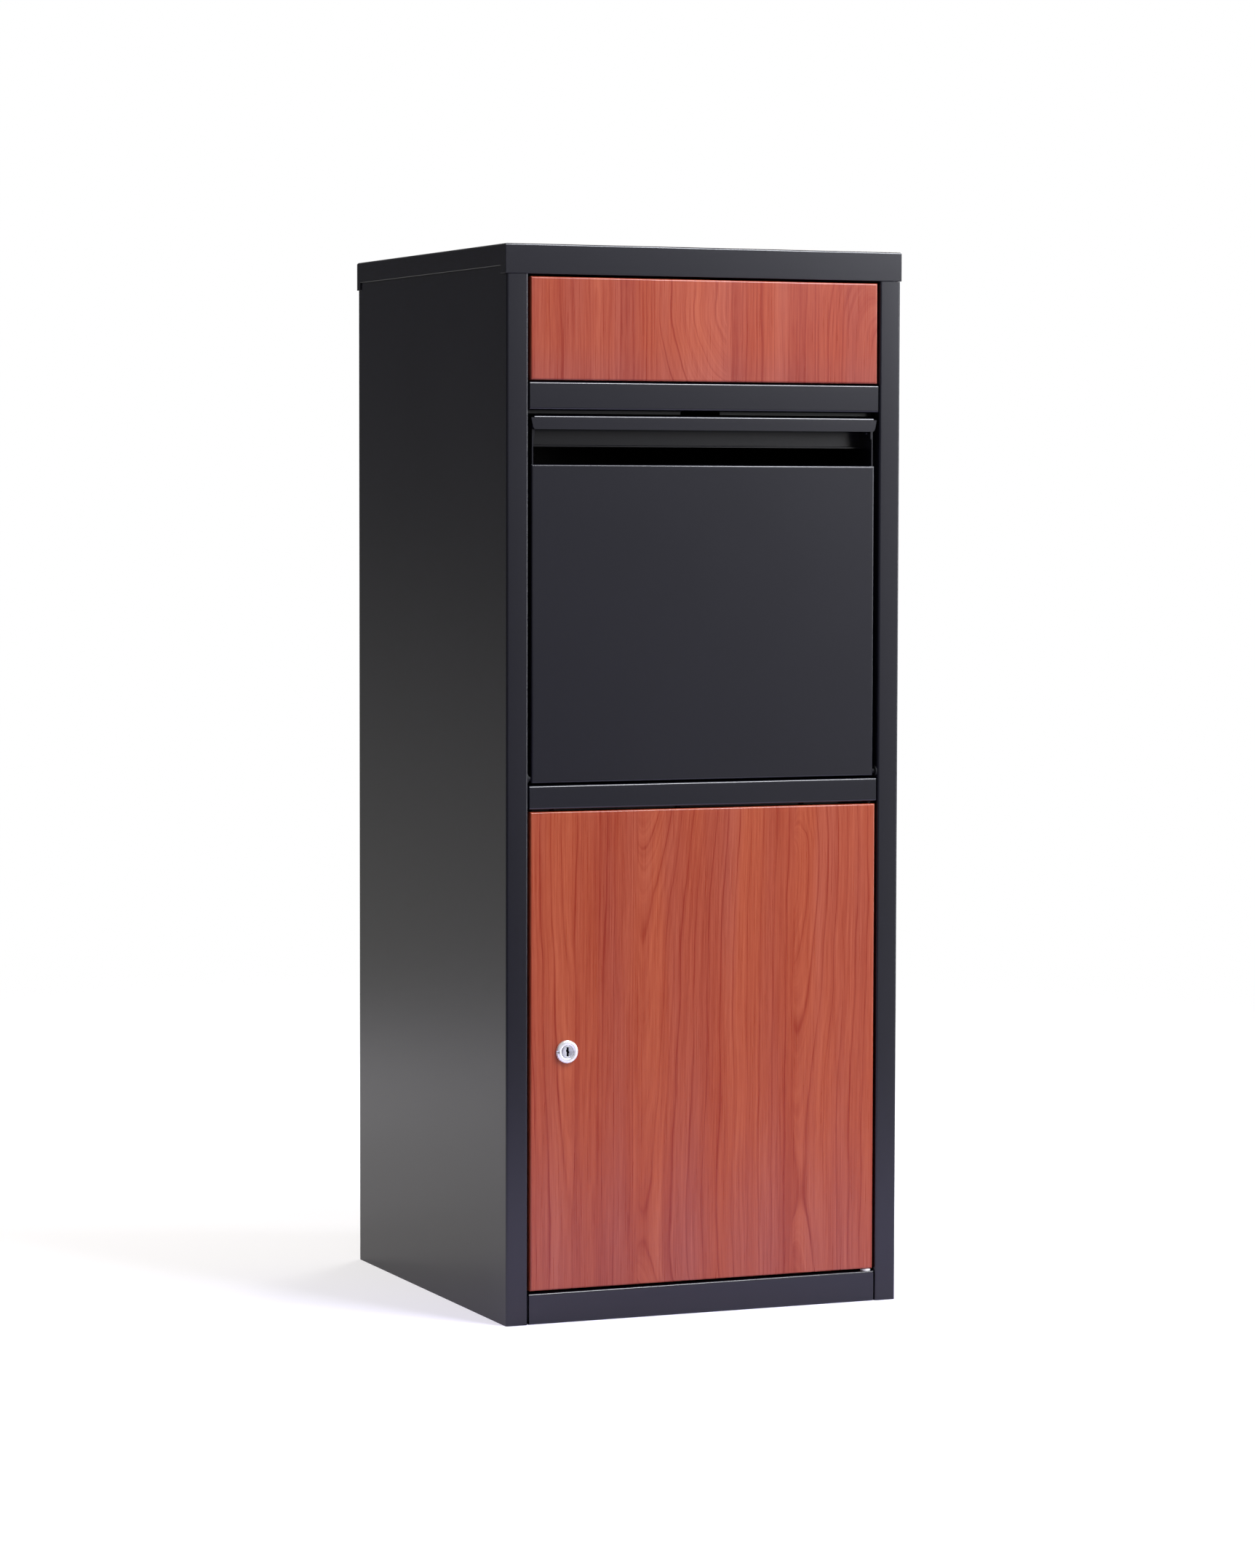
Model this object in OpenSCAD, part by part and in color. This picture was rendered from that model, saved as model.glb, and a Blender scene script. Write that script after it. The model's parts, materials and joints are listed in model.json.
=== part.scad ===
// Free-standing parcel drop box in folded sheet steel: a tilting parcel hopper with a letter
// slot above a collection door that is hinged on pivot pins and closed by a cam lock.
// Millimetres. X to the right, Y to the back, Z up; the origin is on the floor in the middle.

/* [Cabinet] */
// Overall height
height = 1020; // [940:10:1150]
// Width over the top cover
width = 410; // [390:5:450]
// Depth over the top cover, without the lock
depth = 420; // [400:5:460]
// Thickness of the sheet steel
sheet_t = 1.2; // [1:0.1:1.4]
// Outside radius of the folds
fold_r = 2; // [1.8:0.1:2.4]
// Width of each front stile on the body
stile_w = 21.8; // [20:0.2:24]
// Depth of the stiles' and rails' returns behind the front
return_d = 20; // [20:0.5:22]

/* [Front layout] */
// Height of the sill under the door
sill_h = 29.5; // [28:0.5:34]
// Height of the rail between the door and the hopper
mid_rail_h = 22.5; // [22:0.5:26]
// Height of the hopper's front panel
hopper_h = 300; // [280:5:320]
// Clear height between the hopper's front panel and the upper rail
mouth_h = 51.5; // [50:0.5:54]
// Height of the rail above the hopper
upper_rail_h = 26; // [24:0.5:30]
// Height of the wood-finish fascia
fascia_h = 96.5; // [90:0.5:110]
// Height of the top cover's front band
lid_band_h = 28; // [26:0.5:32]
// Height of the top cover's side flanges between its corners
lid_side_h = 20.5; // [18:0.5:22]
// Gap around the door and the fascia
panel_gap = 2.5; // [2:0.1:3]

/* [Hopper] */
// How far the hopper tilts open, in degrees
hopper_open = 50; // [40:1:50]
// Length of the sloping part of the chute plate
chute_l = 280; // [240:5:290]
// Radius of the side cheeks about the pivot
cheek_r = 340; // [338:0.5:340.5]
// Depth of the handle bar
handle_d = 30; // [24:1:32]
// Height of the handle's front lip
handle_lip_h = 13; // [11:0.5:15]
// Overall height of the handle bar
handle_h = 29; // [26:0.5:30]

/* [Lock and hinges] */
// Diameter of the lock's bezel
lock_d = 22; // [20:0.5:24]
// Distance of the lock from the cabinet's left side
lock_inset = 62.5; // [55:0.5:75]
// Height of the lock above the floor
lock_z = 259; // [200:1:300]
// How far the lock stands out of the door
lock_proud = 3; // [2:0.5:4]
// Distance of the door's pivot from the opening's right edge
door_pivot_inset = 7.5; // [7.4:0.1:8]

/* [Fixing] */
// Radius of the wall fixing holes
wall_hole_r = 4.5; // [3:0.5:6]
// Spacing of the wall fixing holes across
wall_dx = 300; // [260:10:320]
// Spacing of the wall fixing holes up and down
wall_dz = 700; // [600:10:740]
// Radius of the floor fixing holes
floor_hole_r = 5.5; // [4:0.5:7]
// Spacing of the floor fixing holes across
floor_dx = 280; // [240:10:300]
// Spacing of the floor fixing holes front to back
floor_dy = 260; // [220:10:280]

/* [Hidden] */

$fn = 48;
fold_steps = 5;
arc_steps = 36;
over = 1;                                   // how far a cutter runs past a face

// Planes of the cabinet
side_x = width / 2 - sheet_t;
side_in_x = side_x - sheet_t;
open_x = side_x - stile_w;
front_y = -(depth - lock_proud) / 2;
lid_back_y = front_y + depth;
back_y = lid_back_y - sheet_t;
back_in_y = back_y - 2 * sheet_t;
side_top_z = height - sheet_t - 1;
rear_flange_w = 20;
rail_end_gap = 1.6;
rail_x = open_x - rail_end_gap;
behind_stile_y = front_y + return_d;

// Heights of the front, from the floor up
hopper_gap = 2;
fascia_low_gap = 1.5;
band_z = height - lid_band_h;
stile_top_z = band_z - 0.4;
fascia_z = band_z - panel_gap - fascia_h;
upper_rail_z = fascia_z - fascia_low_gap - upper_rail_h;
hopper_z = upper_rail_z - mouth_h - hopper_h;
mid_rail_z = hopper_z - hopper_gap - mid_rail_h;
door_z = sill_h + panel_gap;
door_h = mid_rail_z - panel_gap - door_z;
panel_w = 2 * (open_x - panel_gap);
panel_d = 18;
fascia_d = return_d;
lip_w = 12;

// Hopper, measured from its pivot axis
hopper_recess = 2;
hopper_side_gap = 4;
hopper_x = open_x - hopper_side_gap;
hopper_d = 15;
pivot = [front_y + 6, hopper_z + 4.5];
pivot_r = 2.5;
fit_gap = 0.05;
cheek_out_x = hopper_x - sheet_t;
cheek_in_x = cheek_out_x - sheet_t;
fold_clear = 1;                             // between a sheet's edge and the inside of a fold
pan_floor = hopper_z + sheet_t - pivot.y;
cheek_front = front_y + hopper_recess + sheet_t + fold_clear - pivot.x;
cheek_low = pan_floor + fold_clear;
knee = [front_y + 26 - pivot.x, pan_floor];
chute_start = front_y + 9 - pivot.x;
slope = [cos(45), -sin(45)];
chute_end = knee + chute_l * slope;
chute_flange_h = 15;
cheek_foot = knee + 125 * slope;
cheek_heel_r = 118;
stop_reach = 3;                             // rubber of the stop behind the stile's return
stop_z = hopper_z + hopper_h - 34;
stop_h = 50;
stop_slack = 0.2;
stop_angle = hopper_open + stop_slack + atan((return_d + stop_reach + front_y - pivot.x)
                                             / (stop_z - pivot.y));
stop_flange_w = 10;
stop_flange_r = [222, 335];
handle_top_z = upper_rail_z - 5.5;
handle_x = hopper_x + 1;
handle_hem = 6;

// Door pivot and lock
door_pivot = [open_x - door_pivot_inset, front_y + 6];
bush_r = 4;
bush_flange_r = 5;
bush_flange_t = 2.2;
bush_l = 3.5;
lock_x = -width / 2 + lock_inset;
lock_barrel_r = 9;
lock_barrel_l = return_d + 1;
plug_r = 6;
cam_l = 47;
cam_w = 14;
cam_t = 2;

// Sheet folded along a line: the metal lies to the left of the line, and every fold has the
// same outside radius.
function unit(v) = v / norm(v);
function left(v) = [-v.y, v.x];
function spin(v, a) = [v.x * cos(a) - v.y * sin(a), v.x * sin(a) + v.y * cos(a)];
function reversed(v) = [for (i = [len(v) - 1:-1:0]) v[i]];
function arc(c, r, a0, a1, n = fold_steps) =
    [for (k = [0:n]) let (a = a0 + (a1 - a0) * k / n) c + r * [cos(a), sin(a)]];
function fold(a, b, c, off) =
    let (u = unit(b - a),
         w = unit(c - b),
         side = sign(u.x * w.y - u.y * w.x),
         turn = acos(u * w),
         rho = side > 0 ? fold_r : fold_r - sheet_t,
         centre = b - u * rho * tan(turn / 2) + left(u) * side * rho)
    [for (k = [0:fold_steps])
        centre - spin(left(u) * side * (rho - side * off), side * turn * k / fold_steps)];
function sheet_line(p, off) =
    let (n = len(p) - 1)
    concat([p[0] + left(unit(p[1] - p[0])) * off],
           [for (i = [1:n - 1]) each fold(p[i - 1], p[i], p[i + 1], off)],
           [p[n] + left(unit(p[n] - p[n - 1])) * off]);

module sheet_2d(p) {
    polygon(concat(sheet_line(p, 0), reversed(sheet_line(p, sheet_t))));
}

// A (y, z) outline drawn out along X
module along_x(x0, x1) {
    translate([x0, 0, 0]) rotate([90, 0, 90]) linear_extrude(x1 - x0) children();
}

// An (x, y) outline drawn out along Z
module along_z(z0, z1) {
    translate([0, 0, z0]) linear_extrude(z1 - z0) children();
}

// An (x, z) outline drawn out along Y
module along_y(y0, y1) {
    translate([0, y1, 0]) rotate([90, 0, 0]) linear_extrude(y1 - y0) children();
}

module box(lo, hi) {
    translate(lo) cube(hi - lo);
}

module both_sides() {
    children();
    mirror([1, 0, 0]) children();
}

module pin_x(x0, x1, r, at) {
    translate([x0, at.x, at.y]) rotate([0, 90, 0]) cylinder(r = r, h = x1 - x0);
}

module pin_y(y0, y1, r, at) {
    translate([at.x, y0, at.y]) rotate([-90, 0, 0]) cylinder(r = r, h = y1 - y0);
}

module pin_z(z0, z1, r, at) {
    translate([at.x, at.y, z0]) cylinder(r = r, h = z1 - z0);
}

// Turned about the hopper's pivot towards the back, with the origin on the pivot
module about_pivot(angle) {
    translate([0, pivot.x, pivot.y]) rotate([-angle, 0, 0]) children();
}

// Block with its face at y = 0 rounded on all four sides; x is centred, z starts at 0
module face_block(w, h, d, r) {
    intersection() {
        along_z(0, h)
            polygon(concat([[-w / 2, d]], arc([r - w / 2, r], r, 180, 270),
                           arc([w / 2 - r, r], r, 270, 360), [[w / 2, d]]));
        along_x(-w / 2, w / 2)
            polygon(concat([[d, h]], arc([r, h - r], r, 90, 180), arc([r, r], r, 180, 270),
                           [[d, 0]]));
    }
}

// Folded pan, open at the back
module pan(w, h, d) {
    difference() {
        face_block(w, h, d, fold_r);
        translate([0, sheet_t, sheet_t])
            face_block(w - 2 * sheet_t, h - 2 * sheet_t, d, fold_r - sheet_t);
    }
}

// Folded pan whose flanges turn in again at the back, to lips all round
module lipped_pan(w, h, d) {
    difference() {
        face_block(w, h, d, fold_r);
        translate([0, sheet_t, sheet_t])
            face_block(w - 2 * sheet_t, h - 2 * sheet_t, d - 2 * sheet_t, fold_r - sheet_t);
        box([lip_w - w / 2, d - 2 * sheet_t, lip_w], [w / 2 - lip_w, d + over, h - lip_w]);
    }
}

// Tabs that close a rail's ends and are welded to the stiles
module rail_end_tabs(z0, z1) {
    both_sides()
        box([rail_x - sheet_t, front_y + 3, z0 + sheet_t],
            [open_x, front_y + return_d - 3, z1 - sheet_t]);
}

module rivet_x(x0, x1, at) {
    pin_x(x0, x1, rivet_r, at);
    pin_x(x0 - rivet_head_t, x0, rivet_head_r, at);
    pin_x(x1, x1 + rivet_head_t, rivet_head_r, at);
}
rivet_r = 2;
rivet_head_r = 4;
rivet_head_t = 1.2;

// ---- Cabinet ----

module side_panel() {
    line = [[open_x, behind_stile_y], [open_x, front_y], [side_x, front_y], [side_x, back_y],
            [side_x - rear_flange_w, back_y]];
    color([0.13, 0.13, 0.15])
    difference() {
        along_z(0, side_top_z) sheet_2d(line);
        // the stile stops under the top cover's front band
        box([open_x - over, front_y - over, stile_top_z],
            [side_x + over, front_y + lid_band_h / 2, height]);
        box([open_x - over, front_y - over, stile_top_z],
            [side_in_x, behind_stile_y + over, height]);
        pin_x(open_x - over, open_x + sheet_t + over, bush_r, pivot);
        for (at = back_rivets)
            pin_y(back_in_y, back_y + over, back_rivet_r, at);
    }
}

module right_side_panel() {
    side_panel();
}

module left_side_panel() {
    mirror([1, 0, 0]) side_panel();
}

back_rivet_r = 1.6;
back_rivet_head_r = 3.4;
back_rivet_pitch = 220;
back_rivets = [for (k = [0:4]) [side_x - rear_flange_w / 2, 70 + k * back_rivet_pitch]];
wall_z = 500;

module back_panel() {
    color([0.13, 0.13, 0.15])
    difference() {
        box([fold_clear - side_in_x, back_in_y, 0],
            [side_in_x - fold_clear, back_in_y + sheet_t, side_top_z]);
        for (x = [-wall_dx / 2, wall_dx / 2], z = [wall_z - wall_dz / 2, wall_z + wall_dz / 2])
            pin_y(back_in_y - over, back_y, wall_hole_r, [x, z]);
        both_sides()
            for (at = back_rivets)
                pin_y(back_in_y - over, back_y, back_rivet_r, at);
        for (at = baffle_rivets)
            pin_y(back_in_y - over, back_y, back_rivet_r, at);
    }
}

// Blind rivets seen at the back: flanges to back panel, and back panel to baffle
module back_panel_rivets() {
    color([0.13, 0.13, 0.15]) {
        both_sides()
            for (at = back_rivets) {
                pin_y(back_in_y, back_y, back_rivet_r, at);
                pin_y(back_y, back_y + 1, back_rivet_head_r, at);
            }
        for (at = baffle_rivets) {
            pin_y(back_in_y - sheet_t, back_in_y + sheet_t, back_rivet_r, at);
            pin_y(back_in_y + sheet_t, back_y + 0.6, back_rivet_head_r, at);
        }
    }
}

lid_front_wrap = 14;
lid_rear_wrap = 10;

module top_cover() {
    color([0.15, 0.15, 0.18])
    difference() {
        translate([0, front_y, height]) rotate([-90, 0, 0]) pan(width, depth, lid_band_h);
        both_sides()
            box([side_x - over, front_y + lid_front_wrap, band_z - over],
                [width / 2 + over, lid_back_y - lid_rear_wrap, height - lid_side_h]);
    }
}

base_flange_h = 26;
sill_lip_z = sill_h - 8;

module base_pan() {
    rear = back_in_y;
    color([0.13, 0.13, 0.14])
    difference() {
        union() {
            along_x(-rail_x, rail_x)
                sheet_2d([[behind_stile_y, sill_lip_z], [behind_stile_y, sill_h],
                          [front_y, sill_h], [front_y, 0], [rear, 0], [rear, base_flange_h]]);
            both_sides() {
                box([rail_x - over, behind_stile_y + over, 0], [side_in_x, rear, sheet_t]);
                box([side_in_x - sheet_t, behind_stile_y + over, 0],
                    [side_in_x, rear, base_flange_h]);
            }
            rail_end_tabs(sheet_t, sill_h - sheet_t);
        }
        pin_z(sill_h - 2 * sheet_t, sill_h + over, bush_r, door_pivot);
        for (x = [-floor_dx / 2, floor_dx / 2], y = [-floor_dy / 2, floor_dy / 2])
            pin_z(-over, sheet_t + over, floor_hole_r, [x, y]);
    }
}

rain_lip_y = front_y + 16;
rain_lip_h = 3.5;
rain_notch_w = 41;

module upper_rail() {
    top = upper_rail_z + upper_rail_h;
    color([0.15, 0.15, 0.18])
    difference() {
        union() {
            along_x(-rail_x, rail_x)
                sheet_2d([[behind_stile_y, top], [front_y, top], [front_y, upper_rail_z],
                          [rain_lip_y, upper_rail_z], [rain_lip_y, upper_rail_z - rain_lip_h]]);
            rail_end_tabs(upper_rail_z, top);
        }
        box([-rain_notch_w / 2, rain_lip_y - over, upper_rail_z - rain_lip_h - over],
            [rain_notch_w / 2, rain_lip_y + 2 * sheet_t, upper_rail_z - 0.2]);
    }
}

door_stop_y = front_y + panel_d + 3.2;
door_stop_x = [-170, 150];
door_stop_h = 8;

module mid_rail() {
    top = mid_rail_z + mid_rail_h;
    color([0.15, 0.15, 0.17])
    difference() {
        union() {
            along_x(-rail_x, rail_x)
                sheet_2d([[behind_stile_y, top - 8], [behind_stile_y, top], [front_y, top],
                          [front_y, mid_rail_z], [door_stop_y - fold_r, mid_rail_z]]);
            along_x(door_stop_x[0], door_stop_x[1])
                sheet_2d([[front_y + 12, mid_rail_z], [door_stop_y, mid_rail_z],
                          [door_stop_y, mid_rail_z - door_stop_h]]);
            rail_end_tabs(mid_rail_z, top);
        }
        pin_z(mid_rail_z - over, mid_rail_z + 2 * sheet_t, bush_r, door_pivot);
    }
}

bumper_r = 3.5;
bumper_t = 3;

module door_bumpers() {
    color([0.07, 0.07, 0.07])
    for (x = [-150, -20, 110])
        pin_y(door_stop_y - bumper_t, door_stop_y, bumper_r, [x, mid_rail_z - 4.3]);
}

carrier_h = 50;
carrier_z = fascia_z + (fascia_h - carrier_h) / 2;
carrier_x = side_in_x - 10;
screw_r = 2;
screws = [for (z = [carrier_z + 10, carrier_z + carrier_h - 10]) [panel_w / 2 - lip_w / 2, z]];

module top_fascia_panel() {
    color([0.66, 0.33, 0.26])
    difference() {
        translate([0, front_y, fascia_z]) lipped_pan(panel_w, fascia_h, fascia_d);
        both_sides()
            for (at = screws)
                pin_y(behind_stile_y - 2 * sheet_t, behind_stile_y + over, screw_r, at);
    }
}

module fascia_carrier() {
    color([0.13, 0.13, 0.14])
    difference() {
        along_x(-carrier_x, carrier_x)
            sheet_2d([[behind_stile_y + 14, carrier_z + carrier_h],
                      [behind_stile_y, carrier_z + carrier_h], [behind_stile_y, carrier_z],
                      [behind_stile_y + 14, carrier_z]]);
        both_sides()
            for (at = screws)
                pin_y(behind_stile_y - over, behind_stile_y + 2 * sheet_t, screw_r, at);
    }
}

module fascia_screws() {
    color([0.7, 0.7, 0.68])
    both_sides()
        for (at = screws) {
            pin_y(behind_stile_y - 4, behind_stile_y + sheet_t, screw_r, at);
            pin_y(behind_stile_y + sheet_t, behind_stile_y + sheet_t + 2.4, 2 * screw_r, at);
        }
}

baffle_z = pivot.y + 95;
baffle_reach = 80;
baffle_x = 170;
baffle_rivets = [for (x = [-130, 0, 130]) [x, baffle_z + 15]];

module rear_baffle() {
    rear = back_in_y;
    color([0.13, 0.13, 0.14])
    difference() {
        along_x(-baffle_x, baffle_x)
            sheet_2d([[rear - baffle_reach - 2, baffle_z - 42],
                      [rear - baffle_reach, baffle_z - 32], [rear, baffle_z - 2],
                      [rear, baffle_z + 30]]);
        for (at = baffle_rivets)
            pin_y(rear - 2 * sheet_t, rear + over, back_rivet_r, at);
    }
}

module flanged_bush_x(x_face, reach) {
    difference() {
        union() {
            pin_x(x_face - 1.4, x_face, bush_flange_r, pivot);
            pin_x(x_face, x_face + reach, bush_r, pivot);
        }
        pin_x(x_face - 3, x_face + reach + over, pivot_r + fit_gap, pivot);
    }
}

module hopper_pivot_bushes() {
    color([0.07, 0.07, 0.07])
    both_sides()
        flanged_bush_x(open_x, bush_l);
}

// Flanged bush that the door rests on
module door_lower_bush() {
    color([0.9, 0.89, 0.85])
    difference() {
        union() {
            pin_z(sill_h - bush_l, sill_h, bush_r, door_pivot);
            pin_z(sill_h, sill_h + bush_flange_t, bush_flange_r, door_pivot);
        }
        pin_z(0, sill_h + 2 * bush_flange_t, pivot_r + fit_gap, door_pivot);
    }
}

// Plain sleeve for the door's upper pin
module door_upper_bush() {
    color([0.07, 0.07, 0.07])
    difference() {
        pin_z(mid_rail_z, mid_rail_z + bush_l, bush_r, door_pivot);
        pin_z(mid_rail_z - over, mid_rail_z + mid_rail_h, pivot_r + fit_gap, door_pivot);
    }
}

// Rubber edge trims behind the stiles, which the cheeks' flanges meet when the hopper is open
module hopper_opening_stops() {
    color([0.07, 0.07, 0.07])
    both_sides()
        along_z(stop_z, stop_z + stop_h)
            difference() {
                translate([open_x - 1.4, behind_stile_y - 7])
                    square([sheet_t + 3.8, 7 + stop_reach]);
                translate([open_x, behind_stile_y - 8])
                    square([sheet_t, 8]);
            }
}

rest_r = 248;                               // distance of the rest buffer from the pivot
rest_half = 13;
rest_buffer_t = 6;
rest_gap = 0.1;
bracket_t = 1.5;
bracket_y = sheet_t + rest_gap + rest_buffer_t;
bracket_foot_l = 22;

// Angle brackets welded to the side walls, behind the cheeks' flanges
module hopper_rest_brackets() {
    color([0.72, 0.72, 0.7])
    both_sides()
        about_pivot(stop_angle) {
            box([open_x - 3, bracket_y, rest_r - rest_half],
                [side_in_x, bracket_y + bracket_t, rest_r + rest_half]);
            box([side_in_x - bracket_t, bracket_y, rest_r - rest_half],
                [side_in_x, bracket_y + bracket_t + bracket_foot_l, rest_r + rest_half]);
        }
}

module hopper_rest_buffers() {
    color([0.07, 0.07, 0.07])
    both_sides()
        about_pivot(stop_angle)
            pin_y(bracket_y - rest_buffer_t, bracket_y, 4, [open_x + 1.5, rest_r]);
}

// ---- Hopper ----

module hopper_front_panel() {
    top = hopper_z + hopper_h;
    color([0.16, 0.16, 0.18])
    difference() {
        translate([0, front_y + hopper_recess, hopper_z]) pan(2 * hopper_x, hopper_h, hopper_d);
        both_sides() {
            box([cheek_in_x, front_y + hopper_recess + sheet_t, top - 2 * sheet_t],
                [cheek_out_x, front_y + 2 * hopper_d, top + over]);
            pin_x(cheek_out_x - over, hopper_x + over, pivot_r, pivot);
            for (at = panel_rivets)
                pin_x(cheek_out_x - over, hopper_x + over, rivet_r, at);
        }
    }
}

panel_rivets = [for (z = [45, 150, 265]) [front_y + 12, pivot.y + z]];
chute_rivets = [for (s = [35, 95]) pivot + knee + s * slope + 8 * left(slope)];
handle_rivet = [front_y + 16, handle_top_z - 13];

module cheek() {
    heel = cheek_heel_r * [sin(stop_angle), cos(stop_angle)];
    front_a = asin(cheek_front / cheek_r);
    color([0.14, 0.14, 0.15]) {
        difference() {
            translate([0, pivot.x, pivot.y])
                along_x(cheek_in_x, cheek_out_x)
                    polygon(concat([[cheek_front, cheek_low], [knee.x, cheek_low], cheek_foot,
                                    cheek_foot + [12, 14], heel],
                                   arc([0, 0], cheek_r, 90 - stop_angle, 90 - front_a, arc_steps)));
            for (at = concat(panel_rivets, chute_rivets, [handle_rivet]))
                pin_x(cheek_in_x - over, cheek_out_x + over, rivet_r, at);
            pin_x(cheek_in_x - over, cheek_out_x + over, pivot_r, pivot);
        }
        about_pivot(stop_angle)
            box([cheek_in_x, 0, stop_flange_r[0]],
                [cheek_in_x + stop_flange_w, sheet_t, stop_flange_r[1]]);
    }
}

module hopper_right_cheek() {
    cheek();
}

module hopper_left_cheek() {
    mirror([1, 0, 0]) cheek();
}

module chute_plate() {
    start = [chute_start, pan_floor];
    up = [0, chute_flange_h];
    color([0.14, 0.14, 0.15])
    translate([0, pivot.x, pivot.y])
        difference() {
            union() {
                along_x(-cheek_in_x, cheek_in_x)
                    sheet_2d([start, knee, chute_end]);
                both_sides()
                    along_x(cheek_in_x - sheet_t, cheek_in_x)
                        polygon([start, knee, chute_end, chute_end + chute_flange_h * left(slope),
                                 knee + chute_flange_h * [tan(22.5), 1], start + up]);
            }
            both_sides()
                for (at = chute_rivets)
                    pin_x(cheek_in_x - 2 * sheet_t, cheek_in_x + over, rivet_r, at - pivot);
        }
}

module handle_bar() {
    back = front_y + handle_d;
    low = handle_top_z - handle_h;
    lip_z = handle_top_z - handle_lip_h;
    corner = 3.5;
    taper = 1.5;
    color([0.15, 0.15, 0.18]) {
        along_x(-cheek_in_x, cheek_in_x)
            sheet_2d([[back - handle_hem, low], [back, low], [back, handle_top_z],
                      [front_y, handle_top_z], [front_y, lip_z]]);
        along_y(front_y, front_y + sheet_t)
            polygon(concat([[handle_x, handle_top_z - fold_r], [-handle_x, handle_top_z - fold_r]],
                           arc([taper + corner - handle_x, lip_z + corner], corner, 180, 270),
                           arc([handle_x - taper - corner, lip_z + corner], corner, 270, 360)));
        both_sides()
            difference() {
                box([cheek_in_x - sheet_t, front_y + 4, handle_top_z - 20],
                    [cheek_in_x, back - sheet_t, handle_top_z - sheet_t]);
                pin_x(cheek_in_x - 2 * sheet_t, cheek_in_x + over, rivet_r, handle_rivet);
            }
    }
}

module hopper_pivot_pins() {
    color([0.14, 0.14, 0.15])
    both_sides()
        pin_x(cheek_in_x - 1, open_x + 4.5, pivot_r, pivot);
}

module hopper_rivets() {
    color([0.14, 0.14, 0.15])
    both_sides() {
        for (at = panel_rivets)
            rivet_x(cheek_in_x, hopper_x, at);
        for (at = concat(chute_rivets, [handle_rivet]))
            rivet_x(cheek_in_x - sheet_t, cheek_out_x, at);
    }
}

// ---- Door and lock ----

module door_panel() {
    color([0.68, 0.33, 0.25])
    difference() {
        translate([0, front_y, door_z]) lipped_pan(panel_w, door_h, panel_d);
        pin_y(front_y - over, front_y + 2 * sheet_t, lock_barrel_r, [lock_x, lock_z]);
        pin_z(door_z - over, door_z + door_h + over, pivot_r, door_pivot);
    }
}

module door_stiffener() {
    face = front_y + sheet_t;
    back = front_y + panel_d - 4;
    color([0.13, 0.13, 0.14])
    along_z(door_z + lip_w + 4, door_z + door_h - lip_w - 4)
        sheet_2d([[-42, face], [-22, face], [-16, back], [16, back], [22, face], [42, face]]);
}

pivot_block = [18, 13, 14];

// Steel blocks welded inside the door, which hold the pivot pins
module door_pivot_blocks() {
    color([0.72, 0.72, 0.7])
    for (z = [door_z + sheet_t, door_z + door_h - sheet_t - pivot_block.z])
        difference() {
            translate([panel_w / 2 - sheet_t - pivot_block.x, front_y + sheet_t + fold_clear, z])
                cube(pivot_block);
            pin_z(z - over, z + pivot_block.z + over, pivot_r, door_pivot);
        }
}

module door_pivot_pins() {
    inside = sheet_t + pivot_block.z;
    color([0.14, 0.14, 0.15]) {
        pin_z(sill_h - 6, door_z + inside, pivot_r, door_pivot);
        pin_z(door_z + door_h - inside, mid_rail_z + 6, pivot_r, door_pivot);
    }
}

module lock_housing() {
    at = [lock_x, lock_z];
    color([0.83, 0.84, 0.86])
    difference() {
        union() {
            translate([lock_x, front_y, lock_z])
                rotate([90, 0, 0])
                    rotate_extrude()
                        polygon([[0, 0], [lock_d / 2, 0], [lock_d / 2, lock_proud - 1],
                                 [lock_d / 2 - 1, lock_proud], [0, lock_proud]]);
            pin_y(front_y, front_y + lock_barrel_l, lock_barrel_r, at);
        }
        pin_y(front_y - lock_proud - over, front_y + lock_barrel_l + over, plug_r + fit_gap, at);
    }
}

module lock_nut() {
    color([0.75, 0.75, 0.75])
    difference() {
        translate([lock_x, front_y + sheet_t, lock_z])
            rotate([-90, 0, 0]) cylinder(r = 13.2, h = 3.5, $fn = 6);
        pin_y(front_y, front_y + 8, lock_barrel_r, [lock_x, lock_z]);
    }
}

cam_y = front_y + lock_barrel_l + 0.5;

module lock_plug() {
    at = [lock_x, lock_z];
    color([0.6, 0.61, 0.63])
    difference() {
        union() {
            pin_y(front_y - lock_proud + 0.4, cam_y, plug_r, at);
            box([lock_x - 3, cam_y - over, lock_z - 3], [lock_x + 3, cam_y + cam_t, lock_z + 3]);
        }
        box([lock_x - 0.9, front_y - lock_proud - over, lock_z - 4.4],
            [lock_x + 0.9, front_y + 12, lock_z + 4.4]);
        pin_y(cam_y - 6, cam_y + cam_t + over, 1.5, at);
    }
}

module lock_cam() {
    color([0.72, 0.72, 0.7])
    difference() {
        union() {
            box([lock_x - cam_w / 2, cam_y, lock_z - cam_l],
                [lock_x + cam_w / 2, cam_y + cam_t, lock_z]);
            pin_y(cam_y, cam_y + cam_t, cam_w / 2, [lock_x, lock_z]);
        }
        box([lock_x - 3, cam_y - over, lock_z - 3], [lock_x + 3, cam_y + cam_t + over, lock_z + 3]);
    }
}

module cam_screw() {
    color([0.75, 0.75, 0.75]) {
        pin_y(cam_y - 6, cam_y + cam_t, 1.5, [lock_x, lock_z]);
        pin_y(cam_y + cam_t, cam_y + cam_t + 2.5, 4.5, [lock_x, lock_z]);
    }
}

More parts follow.
